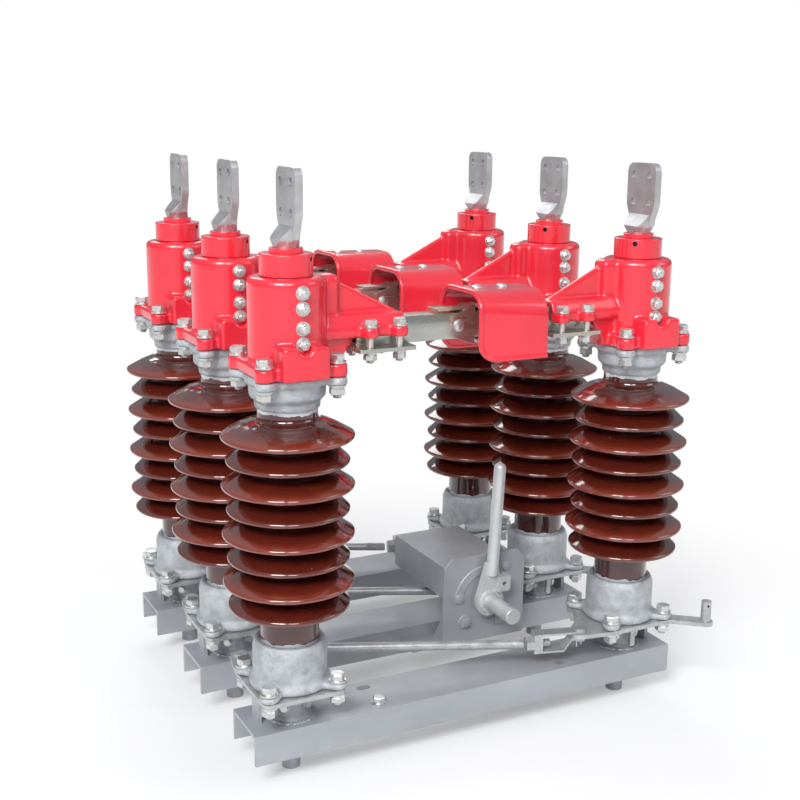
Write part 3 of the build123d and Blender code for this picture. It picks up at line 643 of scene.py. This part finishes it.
class DISCONNECTOR_OT_castings(bpy.types.Operator):
    """Draws a soft skin over the cast heads and fittings, with rounded edges and filled corners"""

    bl_idname = "disconnector.castings"
    bl_label = "Castings"

    def execute(self, context):
        settings = context.scene.disconnector_casting
        for pole in POLES:
            for side in SIDES:
                for part, grain in (("head", settings.grain), ("fittings", settings.grain * 1.15)):
                    node = f"{pole}_{side}_{part}"
                    item = merged_copy(node, f"{node}_casting")
                    skin = item.modifiers.new("skin", "REMESH")
                    skin.mode = "VOXEL"
                    skin.voxel_size = grain
                    smooth = item.modifiers.new("smooth", "SMOOTH")
                    smooth.factor = 0.5
                    smooth.iterations = settings.rounding
                    settled(item, 60)
                    slot = node_slot(node)
                    finish_piece(item, node_body(node), materials[slot])
                    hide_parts(node)
        return {"FINISHED"}


EDGED_PARTS = {
    "channel": 0.0012, "hood": 0.001, "cap": 0.0008, "terminal": 0.0013, "blade": 0.0009, "fingers": 0.0007,
    "crank": 0.0009, "rod": 0.0006, "rod_fork": 0.0006,
}


class DISCONNECTOR_OT_edges(bpy.types.Operator):
    """Rounds the edges of the rolled, bent and machined pieces"""

    bl_idname = "disconnector.edges"
    bl_label = "Rounded edges"

    def execute(self, context):
        nodes = {"mechanism_bracket": 0.0011, "mechanism_cover": 0.0011, "operating_handle": 0.001,
                 "operating_shaft": 0.0006}
        for node in frame["nodes"]:
            for part, width in EDGED_PARTS.items():
                if node.split("_", 1)[1] in (part, f"left_{part}", f"right_{part}"):
                    nodes[node] = width
        for node, width in nodes.items():
            item = merged_copy(node, f"{node}_finished")
            bevel = item.modifiers.new("edge", "BEVEL")
            bevel.width = width
            bevel.segments = 2
            bevel.limit_method = "ANGLE"
            bevel.angle_limit = math.radians(34)
            weigh = item.modifiers.new("faces", "WEIGHTED_NORMAL")
            weigh.keep_sharp = False
            for face in item.data.polygons:
                face.use_smooth = True
            settled(item)
            slot = node_slot(node)
            finish = "bright_paint" if node.startswith("operating") else slot
            finish_piece(item, node_body(node), materials[finish])
            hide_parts(node)
        return {"FINISHED"}


def quarter(centre, first, second, radius, steps=7):
    """Points of a quarter circle from one direction to another."""
    points = []
    for step in range(steps + 1):
        turn = math.pi / 2 * step / steps
        points.append(centre + radius * (math.cos(turn) * first + math.sin(turn) * second))
    return points


class DISCONNECTOR_OT_hood_beads(bpy.types.Operator):
    """Rolls a bead along the open edge of each hood"""

    bl_idname = "disconnector.hood_beads"
    bl_label = "Hood beads"

    def execute(self, context):
        radius = context.scene.disconnector_casting.bead
        for pole in POLES:
            node = f"{pole}_hood"
            near, far = low(node), high(node)
            middle = (near.y + far.y) / 2
            inset = 0.0006
            half = (far.y - near.y) / 2 - inset
            mouth, foot, top = near.x + inset, near.z + inset, far.z - inset
            front_corner, shoulder = 0.024, 0.026
            side = []
            side.append(Vector((far.x - 0.001, -half, foot)))
            side += quarter(Vector((mouth + front_corner, -half, foot + front_corner)), Vector((0, 0, -1)),
                            Vector((-1, 0, 0)), front_corner)
            side += quarter(Vector((mouth, -half + shoulder, top - shoulder)), Vector((0, -1, 0)),
                            Vector((0, 0, 1)), shoulder)
            other = [Vector((point.x, -point.y, point.z)) for point in reversed(side)]
            points = [point + Vector((0, middle, 0)) for point in side + other]
            item = wire_piece(f"{pole}_hood_bead", points, radius)
            finish_piece(item, f"{pole}_right_post", materials["red_paint"])
        return {"FINISHED"}


# Fasteners

def stack_tree(name, layers):
    """Geometry Nodes group that stacks short cones on each point, in units of the thread's diameter."""
    group = bpy.data.node_groups.new(name, "GeometryNodeTree")
    group.interface.new_socket("Geometry", in_out="INPUT", socket_type="NodeSocketGeometry")
    size = group.interface.new_socket("Thread diameter", in_out="INPUT", socket_type="NodeSocketFloat")
    size.default_value = 0.01
    group.interface.new_socket("Finish", in_out="INPUT", socket_type="NodeSocketMaterial")
    group.interface.new_socket("Geometry", in_out="OUTPUT", socket_type="NodeSocketGeometry")
    nodes, links = group.nodes, group.links
    start = nodes.new("NodeGroupInput")
    end = nodes.new("NodeGroupOutput")
    join = nodes.new("GeometryNodeJoinGeometry")
    height = 0.0
    for corners, foot, top, depth in layers:
        cone = nodes.new("GeometryNodeMeshCone")
        cone.inputs["Vertices"].default_value = corners
        cone.inputs["Radius Bottom"].default_value = foot
        cone.inputs["Radius Top"].default_value = top
        cone.inputs["Depth"].default_value = depth
        move = nodes.new("GeometryNodeTransform")
        move.inputs["Translation"].default_value = (0, 0, height)
        links.new(cone.outputs["Mesh"], move.inputs["Geometry"])
        links.new(move.outputs["Geometry"], join.inputs["Geometry"])
        height += depth
    turn = nodes.new("GeometryNodeInputNamedAttribute")
    turn.data_type = "FLOAT_VECTOR"
    turn.inputs["Name"].default_value = "turn"
    rotation = nodes.new("FunctionNodeEulerToRotation")
    links.new(turn.outputs["Attribute"], rotation.inputs["Euler"])
    place = nodes.new("GeometryNodeInstanceOnPoints")
    links.new(start.outputs["Geometry"], place.inputs["Points"])
    links.new(join.outputs["Geometry"], place.inputs["Instance"])
    links.new(rotation.outputs["Rotation"], place.inputs["Rotation"])
    links.new(start.outputs["Thread diameter"], place.inputs["Scale"])
    realize = nodes.new("GeometryNodeRealizeInstances")
    links.new(place.outputs["Instances"], realize.inputs["Geometry"])
    finish = nodes.new("GeometryNodeSetMaterial")
    links.new(realize.outputs["Geometry"], finish.inputs["Geometry"])
    links.new(start.outputs["Finish"], finish.inputs["Material"])
    links.new(finish.outputs["Geometry"], end.inputs["Geometry"])
    return group


THREAD_TURN = [(14, 0.47, 0.53, 0.08), (14, 0.53, 0.47, 0.08)]
FASTENER_LAYERS = {
    "hex_head": [(28, 1.08, 1.08, 0.2), (24, 0.85, 0.85, 0.24), (6, 0.98, 0.98, 0.52), (6, 0.98, 0.86, 0.12)],
    "hex_nut": [(28, 1.05, 1.05, 0.18), (24, 0.85, 0.85, 0.22), (6, 0.88, 0.98, 0.1), (6, 0.98, 0.98, 0.62),
                (6, 0.98, 0.88, 0.1)] + THREAD_TURN * 2 + [(14, 0.5, 0.38, 0.08)],
    "clamp_shank": [(16, 0.5, 0.5, 1.45)],
    "face_screw": [(28, 1.12, 1.12, 0.22), (24, 0.9, 0.86, 0.26), (6, 0.96, 0.96, 0.5), (6, 0.96, 0.8, 0.12),
                   (20, 0.5, 0.5, 0.16), (20, 0.5, 0.3, 0.12)],
    "pan_screw": [(24, 0.95, 0.95, 0.12), (24, 0.9, 0.78, 0.2), (24, 0.78, 0.5, 0.12), (6, 0.3, 0.26, 0.03)],
    "square_bolt": [(28, 1.3, 1.2, 0.16), (4, 1.0, 0.95, 0.36), (4, 0.95, 0.75, 0.08)],
    "thread_ring": [(14, 0.49, 0.53, 0.07), (14, 0.53, 0.49, 0.07)],
    "threaded_end": THREAD_TURN * 7 + [(14, 0.5, 0.36, 0.1)],
    # dark_plug: a short near-black plug that paints the shade down a hole, over a set screw where there is one.
    "dark_plug": [(20, 0.5, 0.5, 0.5), (6, 0.3, 0.24, 0.04)],
    "weld_drop": [(7, 0.62, 0.5, 0.22), (7, 0.5, 0.2, 0.16)],
}
fastener_trees = {}


def fasteners(name, kind, points, thread, body, material="zinc"):
    """Fasteners of one kind on one body, from points of place, direction and spin in degrees."""
    mesh = bpy.data.meshes.new(name)
    mesh.from_pydata([tuple(place) for place, _, _ in points], [], [])
    turn = mesh.attributes.new("turn", "FLOAT_VECTOR", "POINT")
    for index, (_, direction, spin) in enumerate(points):
        lean = Vector(direction).to_track_quat("Z", "Y") @ Euler((0, 0, math.radians(spin))).to_quaternion()
        turn.data[index].vector = lean.to_euler()
    holder = collection_link(bpy.data.objects.new(name + "_points", mesh))
    if kind not in fastener_trees:
        fastener_trees[kind] = stack_tree(kind, FASTENER_LAYERS[kind])
    tree = fastener_trees[kind]
    modifier = holder.modifiers.new("fasteners", "NODES")
    modifier.node_group = tree
    inputs = {item.name: item.identifier for item in tree.interface.items_tree if item.in_out == "INPUT"}
    modifier[inputs["Thread diameter"]] = thread
    modifier[inputs["Finish"]] = materials[material]
    result = bpy.data.meshes.new_from_object(
        holder.evaluated_get(bpy.context.evaluated_depsgraph_get()), preserve_all_data_layers=False)
    bpy.data.objects.remove(holder)
    item = collection_link(bpy.data.objects.new(name, result))
    for face in result.polygons:
        face.use_smooth = True
    result.set_sharp_from_angle(angle=math.radians(35))
    return finish_piece(item, body, None)


def ring_points(centre, across, upward, radius, count, wobble=0.0):
    """Points round a circle for a weld, each a little off the true line and pointing up the weld."""
    normal = across.cross(upward)
    points = []
    for step in range(count):
        turn = math.tau * step / count
        offset = radius + wobble * math.sin(step * 2.7)
        place = centre + offset * (math.cos(turn) * across + math.sin(turn) * upward)
        points.append((place, normal, step * 31))
    return points


def ear_points(centre, height, direction, spins=(12, 40, 25, 5)):
    """Points over the four ears of a fitting."""
    corners = ((-1, -1), (1, -1), (1, 1), (-1, 1))
    return [(centre + Vector((x * EAR_HALF, y * EAR_HALF, height)), direction, spin)
            for (x, y), spin in zip(corners, spins)]


class DISCONNECTOR_OT_fasteners(bpy.types.Operator):
    """Puts the bolts, nuts, washers and screws on every body"""

    bl_idname = "disconnector.fasteners"
    bl_label = "Fasteners"

    def execute(self, context):
        settings = context.scene.disconnector_fastener
        for pole in POLES:
            for side in SIDES:
                self.post = f"{pole}_{side}_post"
                self.centre = post_axis(pole, side)
                self.ears(low(f"{pole}_{side}_head").z, settings.flange_bolt)
                self.clamps(inward(side), settings.clamp_bolt)
                self.face_screws(inward(side), settings.clamp_screw)
                self.bearing(f"{pole}_{side}")
                self.cap_screw(pole, side)
            self.linkage(pole)
            self.hood_and_arm(pole)
        self.mechanism()
        return {"FINISHED"}

    def ears(self, head_foot, thread):
        """Bolts through the ears at a post's foot and under its head."""
        heads = ear_points(self.centre, FITTING_EAR_TOP, UP)
        heads += ear_points(self.centre, head_foot + HEAD_EAR_TOP, UP, (30, 8, 20, 44))
        nuts = ear_points(self.centre, CRANK_PLATE_FOOT, DOWN)
        nuts += ear_points(self.centre, head_foot + FITTING_EAR_FOOT, DOWN)
        fasteners(f"{self.post}_bolt_heads", "hex_head", heads, thread, self.post)
        fasteners(f"{self.post}_nuts", "hex_nut", nuts, thread, self.post)

    def clamps(self, way, thread):
        """Four bolts that pull the clamp plate up under an arm."""
        places = [self.centre + Vector((way * reach, across, 0))
                  for reach in CLAMP_REACHES for across in (-CLAMP_HALF, CLAMP_HALF)]
        for word, kind, height, direction, spin, step in (
                ("heads", "hex_head", CLAMP_EAR_TOP, UP, 18, 23),
                ("nuts", "hex_nut", CLAMP_PLATE_FOOT, DOWN, 33, 17),
                ("shanks", "clamp_shank", CLAMP_SHANK_FOOT, UP, 0, 0)):
            points = [(place + Vector((0, 0, height)), direction, spin + step * index)
                      for index, place in enumerate(places)]
            fasteners(f"{self.post}_clamp_{word}", kind, points, thread, self.post)

    def face_screws(self, way, thread):
        """Screws in a column on a head's face."""
        foot = self.centre + Vector((FACE_SCREW_SHIFT * way, FACE_SCREW_FRONT, 0))
        points = [(foot + Vector((0, 0, height)), FRONT, 10 + 19 * index)
                  for index, height in enumerate(FACE_SCREW_HEIGHTS)]
        fasteners(f"{self.post}_face_screws", "face_screw", points, thread, self.post)

    def bearing(self, name):
        """Adjusting screws round a bearing tube, and the welds at the tube and its stub."""
        adjusters = []
        for turn in BEARING_SCREW_TURNS:
            out = Vector((math.cos(math.radians(turn)), math.sin(math.radians(turn)), 0))
            place = self.centre + out * BEARING_RADIUS + Vector((0, 0, BEARING_SCREW_HEIGHT))
            adjusters.append((place, out, turn))
        fasteners(f"{name}_bearing_screws", "hex_head", adjusters, 0.006, "base")
        across, beyond = Vector((1, 0, 0)), Vector((0, 1, 0))
        tube_foot = self.centre + Vector((0, 0, 0.0002))
        stub_top = self.centre + Vector((0, 0, STUB_WELD_HEIGHT))
        weld = ring_points(tube_foot, across, beyond, BEARING_WELD_RADIUS, 46, 0.0006)
        weld += ring_points(stub_top, beyond, across, STUB_WELD_RADIUS, 22, 0.0004)
        fasteners(f"{name}_bearing_weld", "weld_drop", weld, 0.0062, "base", "grey_paint")

    def cap_screw(self, pole, side):
        """Dark set screw in the hole of a cap; its near-black colour also stands for painted shade down the hole.
        """
        cap = f"{pole}_{side}_cap"
        turn = math.radians(-45 if side == "left" else -135)
        out = Vector((math.cos(turn), math.sin(turn), 0))
        place = self.centre + out * CAP_HOLE_RADIUS + Vector((0, 0, low(cap).z + CAP_HOLE_HEIGHT))
        fasteners(f"{cap}_set_screw", "dark_plug", [(place, out, 10)], 0.0074, f"{pole}_{side}_terminal",
                  "black_screw_and_hole_shade")

    def linkage(self, pole):
        """Thread ends, split pins and the lever's cross hole of one pole, the hole filled with a near-black plug
        as painted shade.
        """
        joints = {joint["name"]: Vector(joint["pos_m"]) for joint in frame["joints"]}
        left_pin, right_pin = joints[f"{pole}_rod_turn"], joints[f"{pole}_fork_turn"]
        along = right_pin - left_pin
        along.z = 0
        along.normalize()
        ends = (("left", left_pin, along, ROD_HEIGHTS[0], f"{pole}_rod"),
                ("right", right_pin, -along, ROD_HEIGHTS[1], f"{pole}_rod_fork"))
        for word, pin, ahead, height, body in ends:
            foot = Vector((pin.x, pin.y, height)) + ahead * ROD_TIP_REACH
            fasteners(f"{pole}_{word}_rod_tip", "threaded_end", [(foot, -ahead, 0)], 0.0112, body,
                      "galvanized_steel")
            sideways = Vector((-ahead.y, ahead.x, 0))
            loop = [Vector((pin.x, pin.y, PIN_FOOT + rise)) + sideways * across for across, rise in SPLIT_PIN]
            item = wire_piece(f"{pole}_{word}_split_pin", loop, 0.0011)
            finish_piece(item, body, materials["zinc"])
        post = joints[f"{pole}_right_turn"]
        aim = Vector((-0.3, -1, 0)).normalized()
        lever_pin = Vector((post.x + LEVER_PIN[0], post.y + LEVER_PIN[1], LEVER_HOLE_HEIGHT))
        # Near-black plug in the lever's cross hole: painted shade for the dark inside of the hole.
        fasteners(f"{pole}_lever_hole_shade", "dark_plug", [(lever_pin + aim * LEVER_PIN_RADIUS, aim, 0)], 0.0036,
                  f"{pole}_right_post", "black_screw_and_hole_shade")
        reach = (right_pin - left_pin).xy.length
        slope = (ROD_HEIGHTS[1] - ROD_HEIGHTS[0]) / (reach - ROD_SHORTER)
        thread = []
        for step in range(THREAD_TURNS):
            run = THREAD_PITCH * step
            for place in (THREAD_STARTS[0] + run, reach - THREAD_STARTS[1] - run):
                level = ROD_HEIGHTS[0] + slope * (place - ROD_START)
                thread.append((Vector((left_pin.x, left_pin.y, level)) + along * place, along, 0))
        fasteners(f"{pole}_rod_threads", "thread_ring", thread, 0.0131, f"{pole}_rod", "galvanized_steel")

    def hood_and_arm(self, pole):
        """Screws on the hood's top and the bolts through the arm's jaw."""
        hood = f"{pole}_hood"
        middle = (low(hood).y + high(hood).y) / 2
        tops = [(Vector((low(hood).x + along, middle, high(hood).z - 0.0003)), UP, 20 * index)
                for index, along in enumerate((0.023, 0.062))]
        fasteners(f"{hood}_screws", "pan_screw", tops, 0.0085, f"{pole}_right_post")
        bolts = [(Vector((-0.031, middle + 0.0162 * way, 0.5075)), (0, way, 0), 20) for way in (-1, 1)]
        fasteners(f"{pole}_jaw_bolts", "pan_screw", bolts, 0.009, f"{pole}_left_post")

    def mechanism(self):
        """Bolts on the mechanism's plate, the weld round its shaft and the bolt in the front channel."""
        face = low("mechanism_bracket").y + 0.0021
        squares = [(Vector((x, face - 0.0001, z)), FRONT, 45) for x, z in ((0.081, 0.01), (0.139, 0.006))]
        fasteners("mechanism_square_bolts", "square_bolt", squares, 0.0095, "base", "grey_paint")
        rounds = [(Vector((0.0692, face - 0.0018, 0.0507)), FRONT, 0),
                  (Vector((0.152, face, 0.092)), FRONT, 20)]
        fasteners("mechanism_track_bolt", "pan_screw", rounds, 0.0085, "base", "grey_paint")
        weld = ring_points(Vector((SHAFT_X, HUB_FRONT, SHAFT_HEIGHT)), Vector((1, 0, 0)), Vector((0, 0, 1)),
                           0.0146, 30, 0.0005)
        fasteners("operating_shaft_weld", "weld_drop", weld, 0.0072, "operating_handle", "bright_paint")
        fasteners("front_channel_bolt", "hex_head", [(Vector((-0.147, -0.25, 0)), UP, 14)], 0.009, "base")


# Stage

CAMERA_LENS = 55.23
CAMERA_PLACE = (-0.8143, -1.6183, 0.7781)
CAMERA_TURNS = (26.902, -13.207, 0.659)


def look_matrix(position, forward, roll):
    """Camera matrix that looks along a direction, rolled by an angle."""
    ahead = forward.normalized()
    level = Vector((ahead.y, -ahead.x, 0)).normalized()
    over = level.cross(ahead)
    right = math.cos(roll) * level + math.sin(roll) * over
    top = -math.sin(roll) * level + math.cos(roll) * over
    turn = Matrix((right, top, -ahead)).transposed()
    return Matrix.Translation(position) @ turn.to_4x4()


class DISCONNECTOR_OT_stage(bpy.types.Operator):
    """Sets the camera, the lamps, the world and the pale floor"""

    bl_idname = "disconnector.stage"
    bl_label = "Stage"

    def execute(self, context):
        scene = context.scene
        camera = collection_link(bpy.data.objects.new("camera", bpy.data.cameras.new("camera")))
        camera.data.sensor_width = 36
        camera.data.lens = CAMERA_LENS
        camera.data.clip_end = 50
        yaw, pitch, roll = (math.radians(turn) for turn in CAMERA_TURNS)
        ahead = Vector((math.sin(yaw) * math.cos(pitch), math.cos(yaw) * math.cos(pitch), math.sin(pitch)))
        camera.matrix_world = look_matrix(Vector(CAMERA_PLACE), ahead, roll)
        scene.camera = camera
        floor_height = cad_box[0][2] - 0.0005
        half = 14
        floor = mesh_piece(
            "floor", [(-half, -half, floor_height), (half, -half, floor_height), (half, half, floor_height),
                      (-half, half, floor_height)], [(0, 1, 2, 3)])
        floor.data.materials.append(self.pale_floor())
        self.lamp("key", (-2.4, -2.4, 2.8), 1.5, 150)
        self.lamp("fill", (2.8, -1.8, 2.0), 1.6, 20)
        self.lamp("back", (0.6, 3.0, 2.6), 1.8, 42)
        glint = self.lamp("glint", (-0.9, -3.0, 2.3), 1.0, 40)
        glint.visible_diffuse = False
        self.world(scene)
        scene.view_settings.view_transform = "Standard"
        return {"FINISHED"}

    def pale_floor(self):
        """Matt white floor that keeps the object's shadow and turns plain white further out."""
        material, tree, surface = shader("pale_floor")
        surface.inputs["Base Color"].default_value = (0.94, 0.94, 0.94, 1)
        surface.inputs["Roughness"].default_value = 0.9
        plain = tree.nodes.new("ShaderNodeEmission")
        plain.inputs["Color"].default_value = (1, 1, 1, 1)
        coordinates = tree.nodes.new("ShaderNodeTexCoord")
        flat = tree.nodes.new("ShaderNodeVectorMath")
        flat.operation = "MULTIPLY"
        flat.inputs[1].default_value = (1, 1, 0)
        reach = tree.nodes.new("ShaderNodeVectorMath")
        reach.operation = "LENGTH"
        tree.links.new(coordinates.outputs["Object"], flat.inputs[0])
        tree.links.new(flat.outputs["Vector"], reach.inputs[0])
        spread = value_range(tree, reach.outputs["Value"], 0.3, 1.0, 0.45, 1.0)
        path = tree.nodes.new("ShaderNodeLightPath")
        seen = maths(tree, "MAXIMUM", path.outputs["Is Camera Ray"],
                     maths(tree, "MAXIMUM", path.outputs["Is Glossy Ray"], path.outputs["Is Transmission Ray"]))
        mix = tree.nodes.new("ShaderNodeMixShader")
        tree.links.new(maths(tree, "MULTIPLY", spread, seen), mix.inputs["Fac"])
        tree.links.new(surface.outputs["BSDF"], mix.inputs[1])
        tree.links.new(plain.outputs["Emission"], mix.inputs[2])
        tree.links.new(mix.outputs["Shader"], tree.nodes["Material Output"].inputs["Surface"])
        return material

    def lamp(self, name, place, size, power):
        """Soft square lamp that points at the middle of the object."""
        light = bpy.data.lights.new(name, "AREA")
        light.size = size
        light.energy = power
        item = collection_link(bpy.data.objects.new(name, light))
        item.location = place
        item.rotation_euler = (Vector((0, 0, 0.3)) - Vector(place)).to_track_quat("-Z", "Y").to_euler()
        return item

    def world(self, scene):
        """World that grows lighter overhead and shows as white behind the object."""
        world = bpy.data.worlds.new("studio")
        world.use_nodes = True
        tree = world.node_tree
        light = tree.nodes["Background"]
        light.inputs["Color"].default_value = (0.9, 0.93, 1, 1)
        coordinates = tree.nodes.new("ShaderNodeTexCoord")
        split = tree.nodes.new("ShaderNodeSeparateXYZ")
        tree.links.new(coordinates.outputs["Generated"], split.inputs["Vector"])
        tree.links.new(value_range(tree, split.outputs["Z"], 0.16, 0.62, 0.0, 0.9), light.inputs["Strength"])
        seen = tree.nodes.new("ShaderNodeBackground")
        seen.inputs["Color"].default_value = (1, 1, 1, 1)
        seen.inputs["Strength"].default_value = 1.0
        path = tree.nodes.new("ShaderNodeLightPath")
        mix = tree.nodes.new("ShaderNodeMixShader")
        tree.links.new(path.outputs["Is Camera Ray"], mix.inputs["Fac"])
        tree.links.new(light.outputs["Background"], mix.inputs[1])
        tree.links.new(seen.outputs["Background"], mix.inputs[2])
        tree.links.new(mix.outputs["Shader"], tree.nodes["World Output"].inputs["Surface"])
        scene.world = world


class DISCONNECTOR_PT_panel(bpy.types.Panel):
    """Lists the steps that make the finished disconnector"""

    bl_idname = "DISCONNECTOR_PT_panel"
    bl_label = "Disconnector"
    bl_space_type = "VIEW_3D"
    bl_region_type = "UI"
    bl_category = "Disconnector"

    def draw(self, context):
        for operator in OPERATORS:
            self.layout.operator(operator.bl_idname)
        for group in (getattr(context.scene, name) for name in GROUPS):
            for name in group.bl_rna.properties.keys():
                if name not in ("rna_type", "name"):
                    self.layout.prop(group, name)


GROUPS = {"disconnector_finish": FinishSettings, "disconnector_insulator": InsulatorSettings,
          "disconnector_casting": CastingSettings, "disconnector_fastener": FastenerSettings}
OPERATORS = (DISCONNECTOR_OT_materials, DISCONNECTOR_OT_insulators, DISCONNECTOR_OT_castings,
             DISCONNECTOR_OT_edges, DISCONNECTOR_OT_hood_beads, DISCONNECTOR_OT_fasteners,
             DISCONNECTOR_OT_stage)


def register():
    for name, group in GROUPS.items():
        bpy.utils.register_class(group)
        setattr(bpy.types.Scene, name, bpy.props.PointerProperty(type=group))
    for item in OPERATORS + (DISCONNECTOR_PT_panel,):
        bpy.utils.register_class(item)


def unregister():
    for item in reversed(OPERATORS + (DISCONNECTOR_PT_panel,)):
        bpy.utils.unregister_class(item)
    for name, group in GROUPS.items():
        delattr(bpy.types.Scene, name)
        bpy.utils.unregister_class(group)


def main():
    register()
    bpy.ops.disconnector.materials()
    bpy.ops.disconnector.insulators()
    bpy.ops.disconnector.castings()
    bpy.ops.disconnector.edges()
    bpy.ops.disconnector.hood_beads()
    bpy.ops.disconnector.fasteners()
    bpy.ops.disconnector.stage()


if __name__ == "__main__":
    main()
